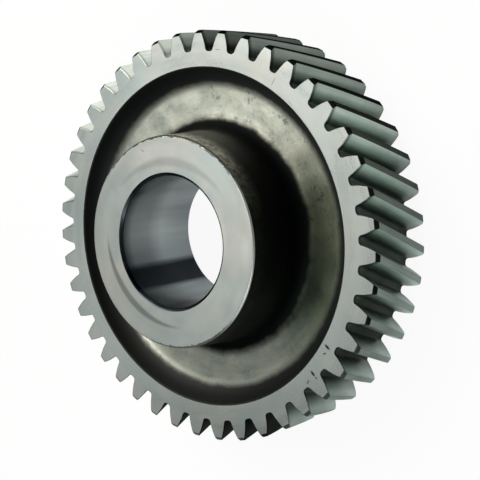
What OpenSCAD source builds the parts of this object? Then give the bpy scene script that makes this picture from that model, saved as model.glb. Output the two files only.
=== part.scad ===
// Reverse gear for a lorry or tractor gearbox: one forging, turned, hobbed and ground.
// It lies on the back face of its rim. The axis is Z, and the long end of the hub points up.

/* [Teeth] */
// Number of teeth
teeth = 43; // [36:1:60]
// Normal module, the size of a tooth measured square to its flanks
normal_module = 4; // [3.5:0.1:5]
// Helix angle on the pitch circle, right hand
helix_angle = 20.5; // [0:0.5:30]
// Pressure angle, measured square to the flanks
pressure_angle = 20; // [17.5:0.5:22.5]
// Height of a tooth above the pitch circle, in modules
addendum = 1.05; // [0.9:0.01:1.1]
// Depth of a gap below the pitch circle, in modules
dedendum = 1.35; // [1.25:0.01:1.4]
// Play left in each gap, measured on the pitch circle
backlash = 0.15; // [0:0.05:0.4]
// Radius in the corners at the bottom of a gap
root_fillet = 1.5; // [0.6:0.1:1.6]
// Chamfer turned on the tooth tips at both ends
tip_chamfer = 1.3; // [0.5:0.1:2]

/* [Rim] */
// Width of the rim and the teeth
face_w = 40; // [34:0.5:60]
// Thickness of the rim below the gaps
rim_wall = 8; // [6:0.5:12]
// Chamfer on the inner edges of the rim
rim_chamfer = 0.5; // [0.3:0.1:1]

/* [Web] */
// Depth of the web below the front of the rim
web_drop = 10; // [8:0.5:14]
// Thickness of the web
web_t = 12; // [8:0.5:14]
// Radius where the web runs into the rim
rim_fillet = 9.5; // [6:0.5:10]
// Radius where the web runs into the hub
hub_fillet = 7; // [4:0.5:8]

/* [Hub] */
// Diameter of the bore
bore_d = 60; // [40:0.5:68]
// Length of the bore
bore_len = 48.5; // [46:0.5:52]
// Chamfer at both ends of the bore
bore_chamfer = 1.2; // [0.5:0.1:2]
// Diameter of the hub's front face
hub_d = 96.5; // [88:0.5:100]
// How far the hub stands out in front of the rim
hub_stand = 23; // [16:0.5:30]
// Draft of the hub's forged side
hub_draft = 3.5; // [1:0.5:6]
// Chamfer on the outer edges of the hub
hub_chamfer = 0.6; // [0.3:0.1:1.5]

/* [Hidden] */

// Round edges drawn with this many sides
$fn = 180;

// Pitch circle and the circles that follow from it
pitch_r = teeth * normal_module / cos(helix_angle) / 2;
transverse_angle = atan(tan(pressure_angle) / cos(helix_angle));
base_r = pitch_r * cos(transverse_angle);
tip_r = pitch_r + addendum * normal_module;
root_r = pitch_r - dedendum * normal_module;
rim_in_r = root_r - rim_wall;

// Steps along a flank, round a root corner, and from end to end of the teeth
flank_steps = 3;
corner_steps = 3;
slice_h = 13.5;
// The toothed bar is this much longer than the gear at both ends, so that the turned section trims it
trim = 2;
// The flanks are drawn this much past the tips, and the turned tip circle cuts them off
tip_over = 0.4;
// Profiles that are joined reach this far into each other
overlap = 1;
// Middle of the first tooth, on the front face of the rim
first_tooth = 4.5;

// Heights above the rim's back face
web_front = face_w - web_drop;
web_back = web_front - web_t;
hub_front = face_w + hub_stand;
hub_back = hub_front - bore_len;
bore_r = bore_d / 2;
hub_r = hub_d / 2;
hub_foot_r = hub_r + (hub_front - web_front) * tan(hub_draft);

// Involute function, in degrees
function inv(angle) = tan(angle) * 180 / PI - angle;

// Pressure angle of the involute at a radius
function angle_at(r) = acos(min(1, base_r / r));

// Half of the angle that a tooth takes up at a radius
half_at_pitch = 90 / teeth - backlash / pitch_r * 90 / PI;
function half_tooth(r) = half_at_pitch + inv(transverse_angle) - inv(angle_at(r));

function polar(r, angle) = r * [cos(angle), sin(angle)];

// A root corner is an arc that touches the flank and the root circle
corner_r = root_r + root_fillet;
corner_lean = angle_at(corner_r);
corner_angle = half_tooth(corner_r) + asin(root_fillet / cos(corner_lean) / corner_r);
flank_r = corner_r - root_fillet * sin(corner_lean);

// One side of a tooth from the bottom of the gap to past the tip; side is 1 or -1
function tooth_side(side) = concat(
    [for (i = [0 : corner_steps - 1])
        let (turn = (90 - corner_lean) * i / corner_steps)
        polar(corner_r, side * corner_angle)
            - root_fillet * polar(1, side * (corner_angle + turn))],
    [for (i = [0 : flank_steps])
        let (r = flank_r + (tip_r + tip_over - flank_r) * i / flank_steps)
        polar(r, side * half_tooth(r))]
);

function reversed(points) = [for (i = [len(points) - 1 : -1 : 0]) points[i]];
function turned(points, angle) = [for (p = points)
    [p.x * cos(angle) - p.y * sin(angle), p.x * sin(angle) + p.y * cos(angle)]];

tooth = concat(tooth_side(-1), reversed(tooth_side(1)));

// The hobbed gaps: a toothed bar, twisted like a screw with a right-hand thread
module toothed_bar() {
    height = hub_front + 2 * trim;
    // Turn of the teeth for each millimetre along the axis, in degrees
    lead_turn = tan(helix_angle) / pitch_r * 180 / PI;
    translate([0, 0, -trim])
        rotate([0, 0, first_tooth - lead_turn * (face_w + trim)])
            linear_extrude(height = height, twist = -lead_turn * height, slices = ceil(height / slice_h))
                polygon([for (i = [0 : teeth - 1]) each turned(tooth, i * 360 / teeth)]);
}

// Fills the inner corner between two straight edges with a radius. The edges leave the corner
// at angles a and b, and the fill reaches a little way behind the corner
module corner_fill(corner, a, b, r) {
    half = (b - a) / 2;
    centre = corner + polar(r / sin(half), a + half);
    reach = r / tan(half);
    difference() {
        polygon([
            corner + polar(reach, a),
            centre,
            corner + polar(reach, b),
            corner - polar(overlap, a + half)
        ]);
        translate(centre)
            circle(r);
    }
}

// Half section of the rim with its turned chamfers
module rim_section() {
    polygon([
        [rim_in_r + rim_chamfer, 0],
        [tip_r - tip_chamfer, 0],
        [tip_r, tip_chamfer],
        [tip_r, face_w - tip_chamfer],
        [tip_r - tip_chamfer, face_w],
        [rim_in_r + rim_chamfer, face_w],
        [rim_in_r, face_w - rim_chamfer],
        [rim_in_r, rim_chamfer]
    ]);
}

// Half section of the hub, with the forged draft on its long end
module hub_section() {
    polygon([
        [bore_r + bore_chamfer, hub_back],
        [hub_r - hub_chamfer, hub_back],
        [hub_r, hub_back + hub_chamfer],
        [hub_r, web_front - overlap],
        [hub_foot_r, web_front],
        [hub_r + hub_chamfer * tan(hub_draft), hub_front - hub_chamfer],
        [hub_r - hub_chamfer, hub_front],
        [bore_r + bore_chamfer, hub_front],
        [bore_r, hub_front - bore_chamfer],
        [bore_r, hub_back + bore_chamfer]
    ]);
}

// Half section of the whole gear, as it is turned on a lathe
module gear_section() {
    rim_section();
    hub_section();
    translate([hub_r - overlap, web_back])
        square([rim_in_r - hub_r + 2 * overlap, web_t]);
    corner_fill([rim_in_r, web_front], 90, 180, rim_fillet);
    corner_fill([rim_in_r, web_back], 180, 270, rim_fillet);
    corner_fill([hub_foot_r, web_front], 0, 90 + hub_draft, hub_fillet);
    corner_fill([hub_r, web_back], -90, 0, min(hub_fillet, web_back - hub_back - hub_chamfer));
}

module gear() {
    color("#a7aaa6")
        intersection() {
            rotate_extrude()
                gear_section();
            toothed_bar();
        }
}

gear();
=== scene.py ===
import math

import bmesh
import bpy
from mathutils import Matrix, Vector, noise


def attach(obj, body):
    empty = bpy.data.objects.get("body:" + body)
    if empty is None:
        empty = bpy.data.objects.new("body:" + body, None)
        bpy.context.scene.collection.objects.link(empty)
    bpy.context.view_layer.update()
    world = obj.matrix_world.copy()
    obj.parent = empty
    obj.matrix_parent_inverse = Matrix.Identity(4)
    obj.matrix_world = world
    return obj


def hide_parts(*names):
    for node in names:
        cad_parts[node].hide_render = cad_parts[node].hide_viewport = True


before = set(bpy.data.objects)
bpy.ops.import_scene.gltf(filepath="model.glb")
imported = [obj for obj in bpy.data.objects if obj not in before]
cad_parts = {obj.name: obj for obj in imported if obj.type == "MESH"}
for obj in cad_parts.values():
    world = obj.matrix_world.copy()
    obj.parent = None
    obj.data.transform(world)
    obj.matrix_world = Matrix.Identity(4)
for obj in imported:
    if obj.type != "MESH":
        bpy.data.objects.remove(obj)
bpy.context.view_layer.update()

MM = 0.001

# Camera
# The gear lies on its back face and the camera looks down on it, leaned over to its right side.
# The photograph is a crop from the lower left of a larger picture, which the shift gives back.
camera_place = (343.9, 48.3, 440.3)
lean_back = -4.09
lean_right = 36.33
picture_width = 480
picture_centre = (285, 195)
sensor_width = 36
lens_over_width = 2.359
nearest_seen = 10 * MM

camera_data = bpy.data.cameras.new("camera")
camera = bpy.data.objects.new("camera", camera_data)
bpy.context.scene.collection.objects.link(camera)
bpy.context.scene.camera = camera
camera.location = [v * MM for v in camera_place]
camera.rotation_mode = "ZYX"
camera.rotation_euler = (math.radians(lean_back), math.radians(lean_right), 0)
camera_data.sensor_width = sensor_width
camera_data.lens = sensor_width * lens_over_width
camera_data.shift_x = (picture_width / 2 - picture_centre[0]) / picture_width
camera_data.shift_y = (picture_centre[1] - picture_width / 2) / picture_width
camera_data.clip_start = nearest_seen
bpy.context.scene.view_settings.view_transform = "Standard"

# Floor
# A plain white studio table with a low white backdrop round it. The camera sees them nearly white, the
# steel mirrors them duller, and the table keeps a soft shadow. It lies a hair below the gear's back face.
floor_size = 8
floor_drop = 0.1 * MM
backdrop_height = 1.1
seen_white = 0.93
reflected_white = 0.25


def linear(hex_colour):
    """An sRGB hex colour as the linear colour that a shader takes."""
    parts = [int(hex_colour[i:i + 2], 16) / 255 for i in (1, 3, 5)]
    return [c / 12.92 if c <= 0.04045 else ((c + 0.055) / 1.055) ** 2.4 for c in parts] + [1]


def add(material, kind, settings={}, links={}, **properties):
    """Adds a node with its settings. A link's value is (node, output)."""
    made = material.node_tree.nodes.new("ShaderNode" + kind)
    for name, value in properties.items():
        setattr(made, name, value)
    for name, value in settings.items():
        made.inputs[name].default_value = value
    for name, (other, output) in links.items():
        material.node_tree.links.new(other.outputs[output], made.inputs[name])
    return made


bpy.ops.object.select_all(action="DESELECT")
bpy.ops.mesh.primitive_plane_add(size=floor_size, location=(0, 0, -floor_drop))
floor = bpy.context.object
floor.name = "floor"
bpy.ops.mesh.primitive_cylinder_add(
    vertices=64, radius=floor_size / 2, depth=backdrop_height, end_fill_type="NOTHING",
    location=(0, 0, backdrop_height / 2),
)
backdrop = bpy.context.object
backdrop.name = "backdrop"

table_top = bpy.data.materials.new("white table top")
table_top.use_nodes = True
table_top.node_tree.nodes.clear()
ray = add(table_top, "LightPath")
mirrored = add(
    table_top, "Math", links={0: (ray, "Is Glossy Ray"), 1: (ray, "Is Transmission Ray")}, operation="MAXIMUM"
)
mirrored_share = add(table_top, "Math", {1: reflected_white}, {0: (mirrored, 0)}, operation="MULTIPLY")
seen_share = add(table_top, "Math", {1: seen_white}, {0: (ray, "Is Camera Ray")}, operation="MULTIPLY")
glow_share = add(table_top, "Math", links={0: (mirrored_share, 0), 1: (seen_share, 0)}, operation="MAXIMUM")
white = add(table_top, "BsdfDiffuse", {"Color": linear("#F4F4F2")})
glow = add(table_top, "Emission", {"Color": linear("#FFFFFF"), "Strength": 1})
table_mix = add(table_top, "MixShader", links={0: (glow_share, 0), 1: (white, 0), 2: (glow, 0)})
add(table_top, "OutputMaterial", links={"Surface": (table_mix, 0)})
floor.data.materials.append(table_top)
backdrop.data.materials.append(table_top)

# Light
# A large soft box at the upper left, which the ground faces mirror, a weaker one on the left,
# one from the near side that mostly the table and the lower teeth catch, and a dim grey room.
room_strength = 0.17
world = bpy.data.worlds.new("room")
bpy.context.scene.world = world
world.use_nodes = True
world.node_tree.nodes["Background"].inputs["Color"].default_value = linear("#C8CECC")
world.node_tree.nodes["Background"].inputs["Strength"].default_value = room_strength

# Name, place, width and height, power and colour of each soft box. All of them aim at the gear's middle
lamp_aim = Vector((0, 0, 0.03))
for name, lamp_place, (width, height), power, tone in (
    ("upper left", (-0.349, 0.547, 0.848), (0.6, 0.74), 10.3, "#FFFDF6"),
    ("left", (-0.62, 0.064, 0.826), (0.75, 0.41), 0.75, "#F3FFFD"),
    ("near side", (0.25, -0.47, 0.71), (0.36, 0.36), 2.0, "#F6FFFD"),
):
    lamp_data = bpy.data.lights.new(name, "AREA")
    lamp_data.shape = "RECTANGLE"
    lamp_data.size = width
    lamp_data.size_y = height
    lamp_data.energy = power
    lamp_data.color = linear(tone)[:3]
    lamp = bpy.data.objects.new(name, lamp_data)
    bpy.context.scene.collection.objects.link(lamp)
    lamp.location = lamp_place
    lamp.rotation_mode = "QUATERNION"
    lamp.rotation_quaternion = (lamp_aim - Vector(lamp_place)).to_track_quat("-Z", "Y")

# Gear
# One steel forging, turned, hobbed and ground: toothed rim, dished web and hub in one piece.
# It is modelled as the lathe and the hob make it: a spun section, and one tooth copied round the rim.
# Where a finish differs from side to side, the photograph sets its shade, and the cause given is a guess.
teeth = 43
normal_module = 4 * MM
helix_angle = math.radians(20.5)
pressure_angle = math.radians(20)
addendum = 1.05 * normal_module
dedendum = 1.35 * normal_module
backlash = 0.15 * MM
root_fillet = 1.5 * MM
tip_chamfer = 1.3 * MM
first_tooth = math.radians(4.5)
face_w = 40 * MM
rim_wall = 8 * MM
rim_chamfer = 0.5 * MM
web_front = 30 * MM
web_back = 18 * MM
rim_fillet = 9.5 * MM
hub_fillet = 7 * MM
hub_front = 63 * MM
hub_back = 14.5 * MM
hub_r = 48.25 * MM
hub_draft = math.radians(3.5)
hub_chamfer = 0.6 * MM
bore_r = 30 * MM
bore_chamfer = 1.2 * MM

pitch_r = teeth * normal_module / math.cos(helix_angle) / 2
transverse_angle = math.atan(math.tan(pressure_angle) / math.cos(helix_angle))
base_r = pitch_r * math.cos(transverse_angle)
tip_r = pitch_r + addendum
root_r = pitch_r - dedendum
rim_in_r = root_r - rim_wall
hub_foot_r = hub_r + (hub_front - web_front) * math.tan(hub_draft)
turn_per_metre = math.tan(helix_angle) / pitch_r
pitch_angle = 2 * math.pi / teeth

# Steps of the turned rings for each tooth, of the rounds of the section, and of a tooth
ring_steps = 8
wide_round_steps = 10
hub_round_steps = 9
low_round_steps = 5
corner_steps = 4
flank_steps = 7
tooth_rows = 11
# Extra rings between the rounds, so that the forged skin can be wavy there: radii on the web's front and
# back, and heights on the hub's side up to its chamfer, in millimetres
front_rings = (66, 63, 60)
back_rings = (55, 60, 65)
hub_rings = (42, 47, 52, 57, 62.4)


def involute(angle):
    return math.tan(angle) - angle


def half_tooth(r):
    """Half of the angle that a tooth takes up at a radius."""
    at_pitch = pitch_angle / 4 - backlash / pitch_r / 2
    return at_pitch + involute(transverse_angle) - involute(math.acos(base_r / r))


def arc(centre, radius, start, end, steps):
    """Points (r, z) on a round of the section; start and end are in degrees from the r axis."""
    angles = [math.radians(start + (end - start) * i / steps) for i in range(steps + 1)]
    return [(centre[0] + radius * math.cos(a), centre[1] + radius * math.sin(a)) for a in angles]


# The turned section, from the front inner edge of the rim over web, hub and bore to the back inner edge
draft = math.degrees(hub_draft)
reach = hub_fillet / math.tan(math.radians(45 + draft / 2))
low_fillet = web_back - hub_back - hub_chamfer
rim_round_r = rim_in_r - rim_fillet
section = [(rim_in_r + rim_chamfer, face_w)]
section += arc((rim_round_r, web_front + rim_fillet), rim_fillet, 0, -90, wide_round_steps)
section += [(r * MM, web_front) for r in front_rings]
section += arc((hub_foot_r + reach, web_front + hub_fillet), hub_fillet, 270, 180 + draft, hub_round_steps)
section += [(hub_r + (hub_front - z * MM) * math.tan(hub_draft), z * MM) for z in hub_rings]
section += [(hub_r - hub_chamfer, hub_front), (bore_r + bore_chamfer, hub_front)]
section += [(bore_r, hub_front - bore_chamfer), (bore_r, hub_back + bore_chamfer)]
section += [(bore_r + bore_chamfer, hub_back), (hub_r - hub_chamfer, hub_back)]
section += arc((hub_r + low_fillet, web_back - low_fillet), low_fillet, 180, 90, low_round_steps)
section += [(r * MM, web_back) for r in back_rings]
section += arc((rim_round_r, web_back - rim_fillet), rim_fillet, 90, 0, wide_round_steps)
section += [(rim_in_r, rim_chamfer), (rim_in_r + rim_chamfer, 0)]

bpy.ops.object.select_all(action="DESELECT")
bpy.ops.mesh.primitive_circle_add(
    vertices=teeth * ring_steps, radius=section[0][0], location=(0, 0, section[0][1])
)
gear = bpy.context.object
gear.name = "gear_body"
bpy.ops.object.transform_apply()
bpy.ops.object.mode_set(mode="EDIT")
bpy.ops.mesh.select_all(action="SELECT")
for (r0, z0), (r1, z1) in zip(section, section[1:]):
    bpy.ops.mesh.extrude_region_move(TRANSFORM_OT_translate={"value": (0, 0, z1 - z0)})
    bpy.ops.transform.resize(value=(r1 / r0, r1 / r0, 1), center_override=(0, 0, 0))
bpy.ops.object.mode_set(mode="OBJECT")

# One side of a tooth as radius and angle: half a gap, the corner at its bottom, the flank and half the tip
corner_r = root_r + root_fillet
corner_lean = math.acos(base_r / corner_r)
corner_angle = half_tooth(corner_r) + math.asin(root_fillet / math.cos(corner_lean) / corner_r)
flank_r = corner_r - root_fillet * math.sin(corner_lean)
chamfer_r = tip_r - tip_chamfer
side = [(root_r, pitch_angle / 2)]
for i in range(corner_steps + 1):
    turn = (math.pi / 2 - corner_lean) * i / corner_steps
    point = Vector((corner_r - root_fillet * math.cos(turn), -root_fillet * math.sin(turn)))
    side.append((point.length, corner_angle + math.atan2(point.y, point.x)))
for i in range(1, flank_steps + 1):
    r = flank_r + (chamfer_r - flank_r) * i / flank_steps
    side.append((r, half_tooth(r)))
side += [(tip_r, half_tooth(tip_r)), (tip_r, half_tooth(tip_r) / 2)]

# The tooth with half a gap on each side: a grid whose rows run round it and whose columns run along it.
# Past the chamfer's circle the columns are shorter, which gives the turned chamfer at both ends
outline = [(r, -a) for r, a in side] + [(tip_r, 0)] + [(r, a) for r, a in reversed(side)]
columns = len(outline)
bpy.ops.mesh.primitive_grid_add(x_subdivisions=columns - 1, y_subdivisions=tooth_rows - 1, size=2)
tooth = bpy.context.object
mesh = bmesh.new()
mesh.from_mesh(tooth.data)
grid = {}
for vertex in mesh.verts:
    column = round((vertex.co.x + 1) / 2 * (columns - 1))
    row = round((vertex.co.y + 1) / 2 * (tooth_rows - 1))
    r, angle = outline[column]
    low = max(0, r - chamfer_r)
    z = low + (face_w - 2 * low) * row / (tooth_rows - 1)
    angle += turn_per_metre * (z - face_w)
    vertex.co = (r * math.cos(angle), r * math.sin(angle), z)
    grid[column, row] = vertex

# Both end faces of the tooth: the flat part down to the rim's inner edge, and the turned facet at the tip.
# The flat part ends on the points of the turned ring, also at the back, where the tooth has turned on
rounding = 1e-9
step_angle = pitch_angle / ring_steps
shoulder = next(i for i, (r, a) in enumerate(side) if r >= chamfer_r - rounding)
for row, z in ((0, 0), (tooth_rows - 1, face_w)):
    start = turn_per_metre * (z - face_w)
    if row == 0:
        start = -step_angle * round(-start / step_angle)
    inner = [
        mesh.verts.new((section[0][0] * math.cos(a), section[0][0] * math.sin(a), z))
        for a in [start + pitch_angle * (i / ring_steps - 0.5) for i in range(ring_steps + 1)]
    ]
    flat = [grid[c, row] for c in range(shoulder + 1)]
    flat += [grid[c, row] for c in range(columns - 1 - shoulder, columns)]
    mesh.faces.new(flat + inner[::-1])
    mesh.faces.new([grid[c, row] for c in range(shoulder, columns - shoulder)])
mesh.to_mesh(tooth.data)
mesh.free()

bpy.ops.object.mode_set(mode="EDIT")
bpy.ops.mesh.select_all(action="SELECT")
bpy.ops.mesh.spin(
    steps=teeth - 1, dupli=True, angle=2 * math.pi * (teeth - 1) / teeth, center=(0, 0, 0), axis=(0, 0, 1)
)
bpy.ops.object.mode_set(mode="OBJECT")

weld = 0.01 * MM
gear.select_set(True)
bpy.context.view_layer.objects.active = gear
bpy.ops.object.join()
bpy.ops.object.mode_set(mode="EDIT")
bpy.ops.mesh.select_all(action="SELECT")
bpy.ops.mesh.remove_doubles(threshold=weld)
bpy.ops.mesh.normals_make_consistent(inside=False)
bpy.ops.object.mode_set(mode="OBJECT")
gear.rotation_euler = (0, 0, first_tooth)
bpy.ops.object.transform_apply()

# The forged skin is a little wavy between the hub's edge and the rim, and calm next to the cut edges
wave = 11 * MM
wave_height = 0.22 * MM
calm = 4 * MM
outwards = [vertex.normal.copy() for vertex in gear.data.vertices]
for vertex, out in zip(gear.data.vertices, outwards):
    r = math.hypot(vertex.co.x, vertex.co.y)
    if hub_r < r < rim_in_r - weld:
        near_edge = min(rim_in_r - r, abs(hub_front - vertex.co.z), abs(vertex.co.z - hub_back))
        vertex.co += out * noise.noise(vertex.co / wave) * wave_height * min(1, near_edge / calm)

# Ground faces
# Case-hardened gear steel, ground flat on a surface grinder: light grey, satin, with faint arcs from the
# wheel, two rubbed arcs, stains and a few small nicks. The turned chamfers are as bright.
wheel_arc = 6 * MM
# The wheel's real lines are far finer: these are as fine as the picture can show
wheel_line = 0.9 * MM
stain = 24 * MM
# Between these radii there is no ground face: the hub's face lies inside them and the rim's outside
hub_side_r = 60 * MM
rim_side_r = 70 * MM


def heading(degrees):
    """The direction that points this many degrees round the axis from +X."""
    return (math.cos(math.radians(degrees)), math.sin(math.radians(degrees)), 0)


ground = bpy.data.materials.new("ground steel")
ground.use_nodes = True
ground.node_tree.nodes.clear()
place = add(ground, "TexCoord")
across = add(ground, "VectorMath", {1: (1, 1, 0)}, {0: (place, "Object")}, operation="MULTIPLY")
radius = add(ground, "VectorMath", links={0: (across, 0)}, operation="LENGTH")
outward = add(ground, "VectorMath", links={0: (across, 0)}, operation="NORMALIZE")
# Arcs and lines keep to one radius: they change slowly round the axis and fast along the radius
ring_places = []
for spacing, change_round in ((wheel_arc, 2.2), (wheel_line, 7)):
    round_axis = add(ground, "VectorMath", {"Scale": change_round}, {0: (outward, 0)}, operation="SCALE")
    ring_height = add(ground, "Math", {1: 1 / spacing}, {0: (radius, "Value")}, operation="MULTIPLY")
    ring_lift = add(ground, "CombineXYZ", links={"Z": (ring_height, 0)})
    ring_place = add(ground, "VectorMath", links={0: (round_axis, 0), 1: (ring_lift, 0)}, operation="ADD")
    ring_places.append(ring_place)
arcs = add(ground, "TexNoise", {"Scale": 1, "Detail": 2, "Roughness": 0.55}, {"Vector": (ring_places[0], 0)})
lines = add(ground, "TexNoise", {"Scale": 1, "Detail": 1}, {"Vector": (ring_places[1], 0)})
stains = add(
    ground, "TexNoise", {"Scale": 1 / stain, "Detail": 4, "Roughness": 0.6}, {"Vector": (place, "Object")}
)
tint = add(ground, "ValToRGB", links={"Fac": (stains, "Fac")})
tint.color_ramp.elements[0].position = 0.35
tint.color_ramp.elements[0].color = linear("#BEC3C1")
tint.color_ramp.elements[1].position = 0.65
tint.color_ramp.elements[1].color = linear("#CFCBC5")
arc_shade = add(
    ground, "MapRange", {"From Min": 0.34, "From Max": 0.6, "To Min": 0.93}, {"Value": (arcs, "Fac")}
)

# Painted light: the rim is lighter away from the upper right, and the hub's face towards the lower right
rim_side = add(ground, "VectorMath", {1: heading(62)}, {0: (outward, 0)}, operation="DOT_PRODUCT")
rim_painted_light = add(
    ground, "MapRange", {"From Min": 0.6, "To Min": 1.15, "To Max": 0.88}, {"Value": (rim_side, "Value")}
)
hub_side = add(ground, "VectorMath", {1: heading(-20)}, {0: (outward, 0)}, operation="DOT_PRODUCT")
hub_painted_light = add(
    ground, "MapRange", {"From Min": -1, "To Min": 0.93, "To Max": 1.09}, {"Value": (hub_side, "Value")}
)
painted_face_light = add(
    ground, "MapRange", {"From Min": hub_side_r, "From Max": rim_side_r},
    {"Value": (radius, "Value"), "To Min": (hub_painted_light, 0), "To Max": (rim_painted_light, 0)},
)
marks_and_painted_light = add(ground, "Math", links={0: (arc_shade, 0), 1: (painted_face_light, 0)}, operation="MULTIPLY")

# Marks on the faces, nicks that are dark and polished or rubbed spots that are wider and softer:
# the middle in x and y, the direction in degrees, the length and the width in millimetres, the shade
soft_width = 3
nick_core = 0.45
mark_end = 1.1
marks = [
    (68.0, -46.4, -42, 3.8, 1.5, 0.05),
    (66.5, -49.4, 20, 2.0, 0.9, 0.15),
    (59.8, -58.8, -46, 3.6, 1.4, 0.05),
    (57.0, -62.8, 62, 2.8, 1.1, 0.4),
    (61.5, -60.6, 10, 1.8, 0.8, 0.2),
    (44.9, 69.6, 56, 5.0, 0.4, 0.3),
    (14.2, 86.0, 176, 3.4, 0.35, 0.35),
    (-13.8, 41.6, 152, 3.2, 0.45, 0.35),
    (4.0, 47.2, 5, 2.6, 1.1, 0.5),
    (13.2, 45.9, -16, 3.0, 0.9, 0.55),
    (22.5, 42.4, -28, 2.2, 0.8, 0.5),
    (31.5, 36.2, -48, 2.4, 1.0, 0.45),
    (38.2, 29.2, -54, 2.0, 0.8, 0.5),
    (44.0, -3.0, 86, 19, 6.5, 1.2),
    (38.6, -22.0, 62, 15, 5.5, 1.16),
    (-33.0, 24.0, 130, 15, 5.0, 0.93),
]
for x, y, direction, length, width, shade in marks:
    stretched = add(
        ground, "Mapping",
        {
            "Location": (x * MM, y * MM, 0),
            "Rotation": (0, 0, math.radians(direction)),
            "Scale": (length / 2 * MM, width / 2 * MM, 1),
        },
        {"Vector": (across, 0)}, vector_type="TEXTURE",
    )
    reach_out = add(ground, "VectorMath", links={0: (stretched, 0)}, operation="LENGTH")
    core = nick_core if width < soft_width else 0
    clear = add(
        ground, "MapRange", {"From Min": core, "From Max": mark_end, "To Min": shade},
        {"Value": (reach_out, "Value")},
    )
    marks_and_painted_light = add(ground, "Math", links={0: (marks_and_painted_light, 0), 1: (clear, 0)}, operation="MULTIPLY")

# Two arcs that a thrust washer has rubbed on the hub's face, each a crescent between the circle that the
# washer turned on and a larger one: direction, radius, width and half of its angle, edge softness, shade
for direction, outer_r, width, half_angle, soft, dark in (
    (226, 38.9, 3.2, 42, 0.8, 0.52),
    (86, 38.2, 3.8, 46, 1.2, 0.78),
):
    off = width / (1 - math.cos(math.radians(half_angle)))
    inner_r = outer_r - width + off
    washer_centre = [-off * MM * part for part in heading(direction)]
    washer = add(ground, "VectorMath", {1: washer_centre}, {0: (across, 0)}, operation="DISTANCE")
    inner_edge = add(
        ground, "MapRange", {"From Min": (inner_r - soft) * MM, "From Max": (inner_r + soft) * MM},
        {"Value": (washer, "Value")}, interpolation_type="SMOOTHSTEP",
    )
    outer_edge = add(
        ground, "MapRange", {"From Min": (outer_r + soft) * MM, "From Max": (outer_r - soft) * MM},
        {"Value": (radius, "Value")}, interpolation_type="SMOOTHSTEP",
    )
    crescent = add(ground, "Math", links={0: (inner_edge, 0), 1: (outer_edge, 0)}, operation="MULTIPLY")
    rub = add(ground, "MapRange", {"To Min": 1, "To Max": dark}, {"Value": (crescent, 0)})
    marks_and_painted_light = add(ground, "Math", links={0: (marks_and_painted_light, 0), 1: (rub, 0)}, operation="MULTIPLY")

# Knocks, old scale and painted shade darken the hub's outer edge on the upper side, and painted shade
# darkens it a short way at the bottom.
# The band lies round the edge, fades out over its last part and wanders by as much as the knocks reach in
knock = 2.2 * MM
knock_reach = 1.3 * MM
band_r = hub_r - 0.1 * MM
band_end = 1.05 * MM
band_full = 0.7 * MM
knocks = add(
    ground, "TexNoise", {"Scale": 1 / knock, "Detail": 4, "Roughness": 0.65}, {"Vector": (place, "Object")}
)
knocked_in = add(
    ground, "MapRange", {"To Min": -knock_reach, "To Max": knock_reach}, {"Value": (knocks, "Fac")}
)
knocked_edge = add(ground, "Math", links={0: (radius, "Value"), 1: (knocked_in, 0)}, operation="ADD")
from_edge = add(ground, "Math", {1: band_r}, {0: (knocked_edge, 0)}, operation="SUBTRACT")
near_edge = add(ground, "Math", links={0: (from_edge, 0)}, operation="ABSOLUTE")
in_band = add(
    ground, "MapRange", {"From Min": band_end, "From Max": band_full}, {"Value": (near_edge, 0)},
    interpolation_type="SMOOTHSTEP",
)
upper_side = add(ground, "VectorMath", {1: heading(86)}, {0: (outward, 0)}, operation="DOT_PRODUCT")
upper_edge = add(ground, "MapRange", {"From Min": 0.5, "From Max": 0.75}, {"Value": (upper_side, "Value")})
lower_side = add(ground, "VectorMath", {1: heading(-78)}, {0: (outward, 0)}, operation="DOT_PRODUCT")
lower_painted_shade = add(
    ground, "MapRange", {"From Min": 0.82, "From Max": 0.94, "To Max": 0.7}, {"Value": (lower_side, "Value")}
)
knocked_and_shaded_sides = add(ground, "Math", links={0: (upper_edge, 0), 1: (lower_painted_shade, 0)}, operation="MAXIMUM")
knocked_and_shaded = add(ground, "Math", links={0: (in_band, 0), 1: (knocked_and_shaded_sides, 0)}, operation="MULTIPLY")
knocks_and_painted_shade = add(ground, "MapRange", {"To Min": 1, "To Max": 0.14}, {"Value": (knocked_and_shaded, 0)})
marks_and_painted_light = add(ground, "Math", links={0: (marks_and_painted_light, 0), 1: (knocks_and_painted_shade, 0)}, operation="MULTIPLY")
shaded = add(ground, "VectorMath", links={0: (tint, "Color"), "Scale": (marks_and_painted_light, 0)}, operation="SCALE")

# The hub's face is a little rougher than the rim's
face_gloss = add(
    ground, "MapRange", {"From Min": hub_side_r, "From Max": rim_side_r, "To Min": 0.39, "To Max": 0.275},
    {"Value": (radius, "Value")},
)
arc_gloss = add(
    ground, "MapRange", {"From Min": 0.3, "From Max": 0.7, "To Min": -0.03, "To Max": 0.05},
    {"Value": (arcs, "Fac")},
)
gloss = add(ground, "Math", links={0: (face_gloss, 0), 1: (arc_gloss, 0)}, operation="ADD")
relief = add(ground, "Bump", {"Strength": 0.02, "Distance": 0.02 * MM}, {"Height": (lines, "Fac")})
shader = add(
    ground, "BsdfPrincipled", {"Metallic": 1},
    {"Base Color": (shaded, 0), "Roughness": (gloss, 0), "Normal": (relief, 0)},
)
add(ground, "OutputMaterial", links={"Surface": (shader, 0)})

# Bore
# Honed after hardening: smoother and a little bluer than the ground faces. Painted shade darkens it towards
# the front, and painted reflections lie in it as black streaks that run along the bore.
# The real cross-hatch is far finer: this is as fine as the picture can show
honing = 1.2 * MM
bore = bpy.data.materials.new("honed steel")
bore.use_nodes = True
bore.node_tree.nodes.clear()
place = add(bore, "TexCoord")
axes = add(bore, "SeparateXYZ", links={0: (place, "Object")})
across = add(bore, "VectorMath", {1: (1, 1, 0)}, {0: (place, "Object")}, operation="MULTIPLY")
outward = add(bore, "VectorMath", links={0: (across, 0)}, operation="NORMALIZE")
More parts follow.
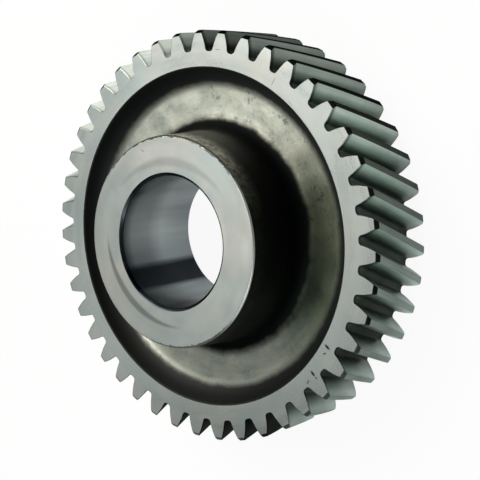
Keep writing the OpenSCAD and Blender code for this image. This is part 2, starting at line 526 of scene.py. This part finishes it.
# Changes for each metre: a streak is about 11 mm wide and 140 mm long
streak_changes = (90, 90, 7)
along = add(bore, "VectorMath", {1: streak_changes}, {0: (place, "Object")}, operation="MULTIPLY")
streaks = add(bore, "TexNoise", {"Scale": 1, "Detail": 4, "Roughness": 0.6}, {"Vector": (along, 0)})
waver = add(bore, "MapRange", {"To Min": -0.1, "To Max": 0.1}, {"Value": (streaks, "Fac")})
# Direction of each painted black reflection from the axis, in degrees, half of its width, its soft edge and
# its shade
painted_black_reflections = []
for direction, half_width, soft, dark in ((218, 12, 4, 0.06), (106, 12, 12, 0.5)):
    facing = add(bore, "VectorMath", {1: heading(direction)}, {0: (outward, 0)}, operation="DOT_PRODUCT")
    turned_by = add(bore, "Math", links={0: (facing, "Value")}, operation="ARCCOSINE")
    wavering = add(bore, "Math", links={0: (turned_by, 0), 1: (waver, 0)}, operation="ADD")
    black_angle = math.radians(half_width - soft)
    clear_angle = math.radians(half_width + soft)
    painted_black_reflections.append(add(
        bore, "MapRange", {"From Min": black_angle, "From Max": clear_angle, "To Min": dark},
        {"Value": (wavering, 0)}, interpolation_type="SMOOTHSTEP",
    ))
streak_shade = add(
    bore, "Math", links={0: (painted_black_reflections[0], 0), 1: (painted_black_reflections[1], 0)}, operation="MULTIPLY"
)
# On the low side the painted shade and reflection start closer to the back end.
# Each list of stops gives how light the painted tone is from the back end, 0, to the front, 1
low_side = add(bore, "VectorMath", {1: heading(255)}, {0: (outward, 0)}, operation="DOT_PRODUCT")
run = add(
    bore, "MapRange", {"From Min": 0.5}, {"Value": (low_side, "Value")}, interpolation_type="SMOOTHSTEP"
)
depth = add(bore, "MapRange", {"From Min": hub_back, "From Max": hub_front}, {"Value": (axes, "Z")})
painted_depth_tones = []
for stops in (
    ((0.0, 0.76), (0.44, 0.74), (0.63, 0.42), (0.86, 0.37), (0.98, 0.07)),
    ((0.0, 1.0), (0.3, 1.0), (0.42, 0.84), (0.6, 0.52), (0.8, 0.22), (0.98, 0.08)),
):
    painted_tone = add(bore, "ValToRGB", links={"Fac": (depth, 0)})
    ramp = painted_tone.color_ramp.elements
    while len(ramp) < len(stops):
        ramp.new(0.5)
    for element, (position, clear) in zip(ramp, stops):
        element.position = position
        element.color = (clear, clear, clear, 1)
    painted_depth_tones.append(painted_tone)
painted_tone = add(
    bore, "Mix", links={"Factor": (run, 0), "A": (painted_depth_tones[0], "Color"), "B": (painted_depth_tones[1], "Color")},
    data_type="RGBA",
)
tone_streaks = add(
    bore, "MapRange", {"From Min": 0.3, "From Max": 0.7, "To Min": 0.75, "To Max": 1.1},
    {"Value": (streaks, "Fac")},
)
painted_depth_shade = add(bore, "Math", links={0: (painted_tone, "Result"), 1: (tone_streaks, 0)}, operation="MULTIPLY")
painted_bore_shade = add(bore, "Math", links={0: (streak_shade, 0), 1: (painted_depth_shade, 0)}, operation="MULTIPLY")
colour = add(
    bore, "Mix", {"A": linear("#0A131C"), "B": linear("#D2DCDF")}, {"Factor": (painted_bore_shade, 0)}, data_type="RGBA"
)
gloss = add(bore, "MapRange", {"To Min": 0.17, "To Max": 0.3}, {"Value": (streaks, "Fac")})
hatch = add(bore, "TexNoise", {"Scale": 1 / honing, "Detail": 2}, {"Vector": (place, "Object")})
relief = add(bore, "Bump", {"Strength": 0.15, "Distance": 0.01 * MM}, {"Height": (hatch, "Fac")})
shader = add(
    bore, "BsdfPrincipled", {"Metallic": 1},
    {"Base Color": (colour, "Result"), "Roughness": (gloss, 0), "Normal": (relief, 0)},
)
add(bore, "OutputMaterial", links={"Surface": (shader, 0)})

# Tooth flanks
# Hobbed and hardened: dark satin grey-green steel. Painted shade leaves it lighter towards the tips, blacks
# out the gaps and darkens the turned tips. Faint streaks run along the teeth, as the hob left them.
streak_width = 1.6 * MM
# Changes of a streak for each metre along the teeth: it is about 33 mm long
streak_changes = 30
patch = 9 * MM
# Radii that the painted black in the gaps starts from and ends at. It reaches furthest up the flanks at the
# top
gap_black_r = 87 * MM
gap_grey_r = 93.5 * MM
top_grey_r = 98 * MM
# Radii and heights between which the other shades fade in: the bare steel above the floor of a gap, the
# painted shade on the tips, the painted shade on the facets at their front end, where the radius and the
# height add up to one value, the painted shade at the front ends and the painted highlight at the back ends
gap_bare_r = (86.6 * MM, 87.6 * MM)
tip_shade_r = (tip_r - 0.3 * MM, tip_r - 0.12 * MM)
facet_shade_sum = (chamfer_r + face_w - 0.4 * MM, chamfer_r + face_w - 0.2 * MM)
dark_end_z = (face_w - 1.7 * MM, face_w - 0.9 * MM)
back_highlight_z = (20 * MM, 4 * MM)
flank = bpy.data.materials.new("hobbed steel")
flank.use_nodes = True
flank.node_tree.nodes.clear()
place = add(flank, "TexCoord")
axes = add(flank, "SeparateXYZ", links={0: (place, "Object")})
across = add(flank, "VectorMath", {1: (1, 1, 0)}, {0: (place, "Object")}, operation="MULTIPLY")
radius = add(flank, "VectorMath", links={0: (across, 0)}, operation="LENGTH")
# The gear is untwisted, so that streaks and shades follow the helix and each tooth has one shade
untwist = add(
    flank, "Math", {1: -turn_per_metre, 2: turn_per_metre * face_w}, {0: (axes, "Z")},
    operation="MULTIPLY_ADD",
)
straight = add(
    flank, "VectorRotate", {"Axis": (0, 0, 1)}, {"Vector": (place, "Object"), "Angle": (untwist, 0)},
    rotation_type="AXIS_ANGLE",
)
drawn_out = add(
    flank, "VectorMath", {1: (1 / streak_width, 1 / streak_width, streak_changes)}, {0: (straight, 0)},
    operation="MULTIPLY",
)
streaks = add(flank, "TexNoise", {"Scale": 1, "Detail": 3, "Roughness": 0.6}, {"Vector": (drawn_out, 0)})
patches = add(flank, "TexNoise", {"Scale": 1 / patch, "Detail": 3}, {"Vector": (place, "Object")})
steel = add(flank, "ValToRGB", links={"Fac": (patches, "Fac")})
steel.color_ramp.elements[0].position = 0.35
steel.color_ramp.elements[0].color = linear("#C3CAC5")
steel.color_ramp.elements[1].position = 0.65
steel.color_ramp.elements[1].color = linear("#D0D6D2")
untwisted = add(flank, "VectorMath", {1: (1, 1, 0)}, {0: (straight, 0)}, operation="MULTIPLY")
outward = add(flank, "VectorMath", links={0: (untwisted, 0)}, operation="NORMALIZE")

# Two painted marks lie only on the flanks that face +X: those at the upper left carry a painted highlight,
# and the lowest ones are painted black all over with shade
facing = add(flank, "SeparateXYZ", links={0: (place, "Normal")})
right_faces = add(flank, "MapRange", {"From Min": 0, "From Max": 0.25}, {"Value": (facing, "X")})
highlight_side = add(flank, "VectorMath", {1: heading(140)}, {0: (outward, 0)}, operation="DOT_PRODUCT")
painted_highlight = add(
    flank, "MapRange", {"From Min": 0.56, "From Max": 0.88},
    {"Value": (highlight_side, "Value"), "To Max": (right_faces, 0)}, interpolation_type="SMOOTHSTEP",
)
highlight_gain = add(flank, "MapRange", {"To Min": 1, "To Max": 1.35}, {"Value": (painted_highlight, 0)})
lowest_painted_dark = add(flank, "MapRange", {"To Min": 1, "To Max": 0.06}, {"Value": (right_faces, 0)})
lowest_side = add(flank, "VectorMath", {1: heading(-91)}, {0: (outward, 0)}, operation="DOT_PRODUCT")
lowest_painted_shade = add(
    flank, "MapRange", {"From Min": 0.88, "From Max": 0.93, "To Min": 1},
    {"Value": (lowest_side, "Value"), "To Max": (lowest_painted_dark, 0)}, interpolation_type="SMOOTHSTEP",
)

# Painted shade blackens the gaps, apart from those under the painted highlight
gap_shade = add(flank, "MapRange", {"To Min": 0.23, "To Max": 0.9}, {"Value": (painted_highlight, 0)})
top_side = add(flank, "VectorMath", {1: heading(81)}, {0: (outward, 0)}, operation="DOT_PRODUCT")
black_to = add(
    flank, "MapRange", {"From Min": 0.9, "From Max": 0.965, "To Min": gap_grey_r, "To Max": top_grey_r},
    {"Value": (top_side, "Value")},
)
painted_gap_shade = add(
    flank, "MapRange", {"From Min": gap_black_r},
    {"Value": (radius, "Value"), "From Max": (black_to, 0), "To Min": (gap_shade, 0)},
)
gap_bare = add(
    flank, "MapRange", {"From Min": gap_bare_r[0], "From Max": gap_bare_r[1]},
    {"Value": (radius, "Value"), "To Min": (painted_highlight, 0)},
)

# Painted shade blackens the tips most at the upper right and less further down. On the turned facets at
# their front end it reaches further round
upper_right = add(flank, "VectorMath", {1: heading(64)}, {0: (outward, 0)}, operation="DOT_PRODUCT")
tip_shade_by_side = add(
    flank, "MapRange", {"From Min": 0.3, "From Max": 0.92, "To Min": 0.6, "To Max": 0.02},
    {"Value": (upper_right, "Value")},
)
painted_tip_shade = add(
    flank, "MapRange", {"From Min": tip_shade_r[0], "From Max": tip_shade_r[1], "To Min": 1},
    {"Value": (radius, "Value"), "To Max": (tip_shade_by_side, 0)},
)
facet_sum = add(flank, "Math", links={0: (radius, "Value"), 1: (axes, "Z")}, operation="ADD")
facet_shade_by_side = add(
    flank, "MapRange", {"From Min": -0.15, "From Max": 0.1, "To Min": 0.5, "To Max": 0.04},
    {"Value": (upper_right, "Value")},
)
painted_facet_shade = add(
    flank, "MapRange", {"From Min": facet_shade_sum[0], "From Max": facet_shade_sum[1], "To Min": 1},
    {"Value": (facet_sum, 0), "To Max": (facet_shade_by_side, 0)},
)

# Painted shade darkens the teeth at the upper right, most at the top, and least on the right; it also
# darkens the lower teeth a little
upward = add(flank, "VectorMath", {1: heading(76)}, {0: (outward, 0)}, operation="DOT_PRODUCT")
upper_shade_floor = add(flank, "MapRange", {"To Min": 0.55}, {"Value": (painted_highlight, 0)})
upper_painted_shade = add(
    flank, "MapRange", {"From Min": 0.777, "From Max": 0.927, "To Min": 1},
    {"Value": (upward, "Value"), "To Max": (upper_shade_floor, 0)}, interpolation_type="SMOOTHSTEP",
)
height = add(flank, "VectorMath", {1: (0, 1, 0)}, {0: (outward, 0)}, operation="DOT_PRODUCT")
downward_painted_shade = add(
    flank, "MapRange", {"From Min": 0.2, "From Max": -0.6, "To Min": 1, "To Max": 0.72},
    {"Value": (height, "Value")}, interpolation_type="SMOOTHSTEP",
)
topmost_shade_floor = add(flank, "MapRange", {"To Min": 0.35}, {"Value": (painted_highlight, 0)})
topmost_painted_shade = add(
    flank, "MapRange", {"From Min": 0.92, "From Max": 0.995, "To Min": 1},
    {"Value": (height, "Value"), "To Max": (topmost_shade_floor, 0)}, interpolation_type="SMOOTHSTEP",
)
for shade in (downward_painted_shade, topmost_painted_shade):
    upper_painted_shade = add(flank, "Math", links={0: (upper_painted_shade, 0), 1: (shade, 0)}, operation="MULTIPLY")

# Painted shade darkens the front ends of the teeth next to the ground face, and a painted highlight
# lightens the back ends at the lower right
front_end_shade_floor = add(flank, "MapRange", {"To Min": 0.45, "To Max": 0.7}, {"Value": (painted_highlight, 0)})
front_end_painted_shade = add(
    flank, "MapRange", {"From Min": dark_end_z[0], "From Max": dark_end_z[1], "To Min": 1},
    {"Value": (axes, "Z"), "To Max": (front_end_shade_floor, 0)},
)
lower_right_side = add(flank, "VectorMath", {1: heading(-30)}, {0: (outward, 0)}, operation="DOT_PRODUCT")
back_end_highlight_gain = add(
    flank, "MapRange", {"From Min": 0.6, "From Max": 0.92, "To Min": 1, "To Max": 1.7},
    {"Value": (lower_right_side, "Value")},
)
back_end_painted_highlight = add(
    flank, "MapRange", {"From Min": back_highlight_z[0], "From Max": back_highlight_z[1], "To Min": 1},
    {"Value": (axes, "Z"), "To Max": (back_end_highlight_gain, 0)},
)

streak_shade = add(
    flank, "MapRange", {"From Min": 0.3, "From Max": 0.7, "To Min": 0.85, "To Max": 1.08},
    {"Value": (streaks, "Fac")},
)
marks_and_painted_shade = painted_gap_shade
for shade in (painted_tip_shade, painted_facet_shade, highlight_gain, lowest_painted_shade, back_end_painted_highlight, front_end_painted_shade, upper_painted_shade, streak_shade):
    marks_and_painted_shade = add(flank, "Math", links={0: (marks_and_painted_shade, 0), 1: (shade, 0)}, operation="MULTIPLY")
shaded = add(flank, "VectorMath", links={0: (steel, "Color"), "Scale": (marks_and_painted_shade, 0)}, operation="SCALE")
# The painted tone is a little greener away from the painted highlight and a little warmer under it
painted_tone = add(
    flank, "Mix", {"A": linear("#F5FFFC"), "B": linear("#FFFEFB")}, {"Factor": (painted_highlight, 0)}, data_type="RGBA"
)
colour = add(flank, "VectorMath", links={0: (shaded, 0), 1: (painted_tone, "Result")}, operation="MULTIPLY")
gloss = add(flank, "MapRange", {"To Min": 0.26, "To Max": 0.38}, {"Value": (streaks, "Fac")})
relief = add(flank, "Bump", {"Strength": 0.2, "Distance": 0.02 * MM}, {"Height": (streaks, "Fac")})
# The steel is not metallic where the tips, the facets, the gap floors and the lowest flanks are painted black
metal = painted_tip_shade
for bare_part in (gap_bare, painted_facet_shade, lowest_painted_shade):
    metal = add(flank, "Math", links={0: (metal, 0), 1: (bare_part, 0)}, operation="MULTIPLY")
shader = add(
    flank, "BsdfPrincipled", {"Specular IOR Level": 0},
    {"Base Color": (colour, 0), "Metallic": (metal, 0), "Roughness": (gloss, 0), "Normal": (relief, 0)},
)
add(flank, "OutputMaterial", links={"Surface": (shader, 0)})

# Forged web
# The die-forged skin: shot-blasted warm grey on the web, black scale with painted shade on the steep walls.
# The painted shade reaches further down the wall on one side.
mottle = 9 * MM
# The blast's real dimples are finer: these are as fine as the picture can show
grit = 1.2 * MM
flake = 2.4 * MM
smudge = 12 * MM
speck = 2.6 * MM
flow_line = 3 * MM
shade_offset = [1.6 * MM * part for part in heading(188)]
scale_wander = 1.6 * MM
# Radii between which the scale and the painted shade thicken, up the rim's wall and down to the hub's foot,
# and the heights between which painted light lightens the hub's side
rim_scale_r = (68.9 * MM, 73.4 * MM)
hub_scale_r = (58.6 * MM, 53.6 * MM)
rubbed_and_lit_z = (51 * MM, 61 * MM)
forged = bpy.data.materials.new("forged skin")
forged.use_nodes = True
forged.node_tree.nodes.clear()
place = add(forged, "TexCoord")
axes = add(forged, "SeparateXYZ", links={0: (place, "Object")})
across = add(forged, "VectorMath", {1: (1, 1, 0)}, {0: (place, "Object")}, operation="MULTIPLY")
radius = add(forged, "VectorMath", links={0: (across, 0)}, operation="LENGTH")
outward = add(forged, "VectorMath", links={0: (across, 0)}, operation="NORMALIZE")
patches = add(
    forged, "TexNoise", {"Scale": 1 / mottle, "Detail": 6, "Roughness": 0.65}, {"Vector": (place, "Object")}
)
grains = add(
    forged, "TexNoise", {"Scale": 1 / grit, "Detail": 4, "Roughness": 0.6}, {"Vector": (place, "Object")}
)
wander = add(
    forged, "MapRange", {"To Min": -scale_wander, "To Max": scale_wander}, {"Value": (patches, "Fac")}
)
edge = add(forged, "Math", links={0: (radius, "Value"), 1: (wander, 0)}, operation="ADD")
shade_lean = add(forged, "VectorMath", {1: shade_offset}, {0: (outward, 0)}, operation="DOT_PRODUCT")
rim_edge = add(forged, "Math", links={0: (edge, 0), 1: (shade_lean, "Value")}, operation="SUBTRACT")
rim_scale_and_shade = add(
    forged, "MapRange", {"From Min": rim_scale_r[0], "From Max": rim_scale_r[1]}, {"Value": (rim_edge, 0)},
    interpolation_type="SMOOTHSTEP",
)
hub_scale_and_shade = add(
    forged, "MapRange", {"From Min": hub_scale_r[0], "From Max": hub_scale_r[1]}, {"Value": (edge, 0)},
    interpolation_type="SMOOTHSTEP",
)

# Painted light lightens the hub's upper edge in flakes, most of all on one side
top = add(forged, "Math", links={0: (axes, "Z"), 1: (wander, 0)}, operation="ADD")
lit_side = add(forged, "VectorMath", {1: heading(68)}, {0: (outward, 0)}, operation="DOT_PRODUCT")
upper_side_light = add(
    forged, "MapRange", {"From Min": 0.55, "From Max": 0.95, "To Min": 0.08, "To Max": 0.75},
    {"Value": (lit_side, "Value")},
)
rubbed_and_lit = add(
    forged, "MapRange", {"From Min": rubbed_and_lit_z[0], "From Max": rubbed_and_lit_z[1]},
    {"Value": (top, 0), "To Max": (upper_side_light, 0)}, interpolation_type="SMOOTHSTEP",
)
flakes = add(
    forged, "TexNoise", {"Scale": 1 / flake, "Detail": 5, "Roughness": 0.7}, {"Vector": (place, "Object")}
)
flaked = add(
    forged, "MapRange", {"From Min": 0.38, "From Max": 0.62, "To Min": 0.3}, {"Value": (flakes, "Fac")}
)
rubbed_and_lit = add(forged, "Math", links={0: (rubbed_and_lit, 0), 1: (flaked, 0)}, operation="MULTIPLY")
kept = add(forged, "Math", {0: 1}, {1: (rubbed_and_lit, 0)}, operation="SUBTRACT")
hub_kept = add(forged, "Math", links={0: (hub_scale_and_shade, 0), 1: (kept, 0)}, operation="MULTIPLY")
scale_and_painted_shade = add(forged, "Math", links={0: (rim_scale_and_shade, 0), 1: (hub_kept, 0)}, operation="MAXIMUM")

# Smudges and dark specks are most marked at the upper right
blasted = add(forged, "ValToRGB", links={"Fac": (patches, "Fac")})
blasted.color_ramp.elements[0].position = 0.34
blasted.color_ramp.elements[0].color = linear("#B3B6AB")
blasted.color_ramp.elements[1].position = 0.62
blasted.color_ramp.elements[1].color = linear("#CCCABD")
pits = add(
    forged, "MapRange", {"From Min": 0.28, "From Max": 0.4, "To Min": 0.55}, {"Value": (grains, "Fac")}
)
smudges = add(
    forged, "TexNoise", {"Scale": 1 / smudge, "Detail": 6, "Roughness": 0.7, "Distortion": 0.3},
    {"Vector": (place, "Object")},
)
specks = add(
    forged, "TexNoise", {"Scale": 1 / speck, "Detail": 3, "Roughness": 0.6}, {"Vector": (place, "Object")}
)
speck_room = add(forged, "Math", links={0: (specks, "Fac"), 1: (patches, "Fac")}, operation="ADD")
speck_side = add(forged, "VectorMath", {1: heading(48)}, {0: (outward, 0)}, operation="DOT_PRODUCT")
smudge_shade = add(
    forged, "MapRange", {"From Min": 0.5, "From Max": 0.95, "To Min": 0.98, "To Max": 0.74},
    {"Value": (speck_side, "Value")},
)
smudged = add(
    forged, "MapRange", {"From Min": 0.38, "From Max": 0.56},
    {"Value": (smudges, "Fac"), "To Min": (smudge_shade, 0)},
)
speck_shade = add(
    forged, "MapRange", {"From Min": 0.5, "From Max": 0.95, "To Min": 0.88, "To Max": 0.5},
    {"Value": (speck_side, "Value")},
)
speckled = add(
    forged, "MapRange", {"From Min": 0.78, "From Max": 0.86},
    {"Value": (speck_room, 0), "To Min": (speck_shade, 0)},
)

# The forging's flow lines run round the web
flow_change_round = 4
flow_turn = add(forged, "VectorMath", {"Scale": flow_change_round}, {0: (outward, 0)}, operation="SCALE")
flow_height = add(forged, "Math", {1: 1 / flow_line}, {0: (radius, "Value")}, operation="MULTIPLY")
flow_lift = add(forged, "CombineXYZ", links={"Z": (flow_height, 0)})
flow_place = add(forged, "VectorMath", links={0: (flow_turn, 0), 1: (flow_lift, 0)}, operation="ADD")
flow = add(forged, "TexNoise", {"Scale": 1, "Detail": 4, "Roughness": 0.6}, {"Vector": (flow_place, 0)})
flow_shade = add(
    forged, "MapRange", {"From Min": 0.35, "From Max": 0.6, "To Min": 0.86}, {"Value": (flow, "Fac")}
)

# Painted shade darkens the low side, and a painted shadow leaves the right side darker and a little greener
low_side = add(forged, "VectorMath", {1: heading(-82)}, {0: (outward, 0)}, operation="DOT_PRODUCT")
low_painted_shade = add(
    forged, "MapRange", {"From Min": 0.65, "From Max": 0.95, "To Min": 1, "To Max": 0.78},
    {"Value": (low_side, "Value")},
)
marks_and_painted_shade = pits
for shade in (smudged, speckled, flow_shade, low_painted_shade):
    marks_and_painted_shade = add(forged, "Math", links={0: (marks_and_painted_shade, 0), 1: (shade, 0)}, operation="MULTIPLY")
pitted = add(forged, "VectorMath", links={0: (blasted, "Color"), "Scale": (marks_and_painted_shade, 0)}, operation="SCALE")
right_side = add(forged, "VectorMath", {1: heading(-8)}, {0: (outward, 0)}, operation="DOT_PRODUCT")
right_painted_shadow = add(
    forged, "MapRange", {"From Min": 0.55, "From Max": 0.98}, {"Value": (right_side, "Value")},
    interpolation_type="SMOOTHSTEP",
)
right_shadow_tint = add(
    forged, "Mix", {"A": linear("#FFFFFF"), "B": linear("#A4AE9E")}, {"Factor": (right_painted_shadow, 0)},
    data_type="RGBA",
)
tinted = add(forged, "VectorMath", links={0: (pitted, 0), 1: (right_shadow_tint, "Result")}, operation="MULTIPLY")
colour = add(
    forged, "Mix", {"B": linear("#131615")}, {"Factor": (scale_and_painted_shade, 0), "A": (tinted, 0)}, data_type="RGBA"
)
# The rim's black wall is matt and not metallic; on the hub the black stays metallic and is blacker still
bare = add(forged, "Math", {0: 1}, {1: (rim_scale_and_shade, 0)}, operation="SUBTRACT")
gloss = add(forged, "MapRange", {"To Min": 0.36, "To Max": 0.6}, {"Value": (scale_and_painted_shade, 0)})
relief = add(forged, "Bump", {"Strength": 0.45, "Distance": 0.1 * MM}, {"Height": (grains, "Fac")})
shader = add(
    forged, "BsdfPrincipled", {"Specular IOR Level": 0.3},
    {"Base Color": (colour, "Result"), "Metallic": (bare, 0), "Roughness": (gloss, 0), "Normal": (relief, 0)},
)
add(forged, "OutputMaterial", links={"Surface": (shader, 0)})

# Edges and finishes
# The sharp edges are broken all round, as the deburring brush leaves them. Then each face takes its finish
# from where it lies on the gear. The broken edges of the teeth go with the flanks.
edge_break = 0.3 * MM
sharp = math.radians(28)
# Radii and heights that part the finishes, each a little off its edge so that the edge's break goes with it
flank_from_r = root_r - 0.2 * MM
bore_to_r = bore_r + 1.4 * bore_chamfer
skin_r = (hub_r - 0.02 * MM, rim_in_r - 0.1 * MM)
skin_z = (hub_back + 0.5 * MM, hub_front - 0.5 * MM)
wall_r = (rim_in_r - 0.2 * MM, rim_in_r + 2 * rim_chamfer)
# Limits for the height of a face's normal: above the first the face is level and ground, and below the
# second it looks back, as the chamfer at the bore's back end does, which is left as ground
level = 0.995
looks_back = -0.1

bpy.ops.object.shade_smooth()
edges = gear.modifiers.new("edge breaks", "BEVEL")
edges.limit_method = "ANGLE"
edges.angle_limit = sharp
edges.width = edge_break
edges.segments = 2
edges.harden_normals = True
bpy.ops.object.modifier_apply(modifier=edges.name)

finishes = [ground, bore, flank, forged]
for finish in finishes:
    gear.data.materials.append(finish)
for face in gear.data.polygons:
    r = math.hypot(face.center.x, face.center.y)
    z = face.center.z
    sloping = abs(face.normal.z) < level
    on_hub_or_web = skin_r[0] < r < skin_r[1] and skin_z[0] < z < skin_z[1]
    on_rim_wall = wall_r[0] < r < wall_r[1] and sloping
    if r > flank_from_r and sloping:
        finish = flank
    elif r < bore_to_r and looks_back < face.normal.z < level:
        finish = bore
    elif on_hub_or_web or on_rim_wall:
        finish = forged
    else:
        finish = ground
    face.material_index = finishes.index(finish)

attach(gear, "root")
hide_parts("gear")
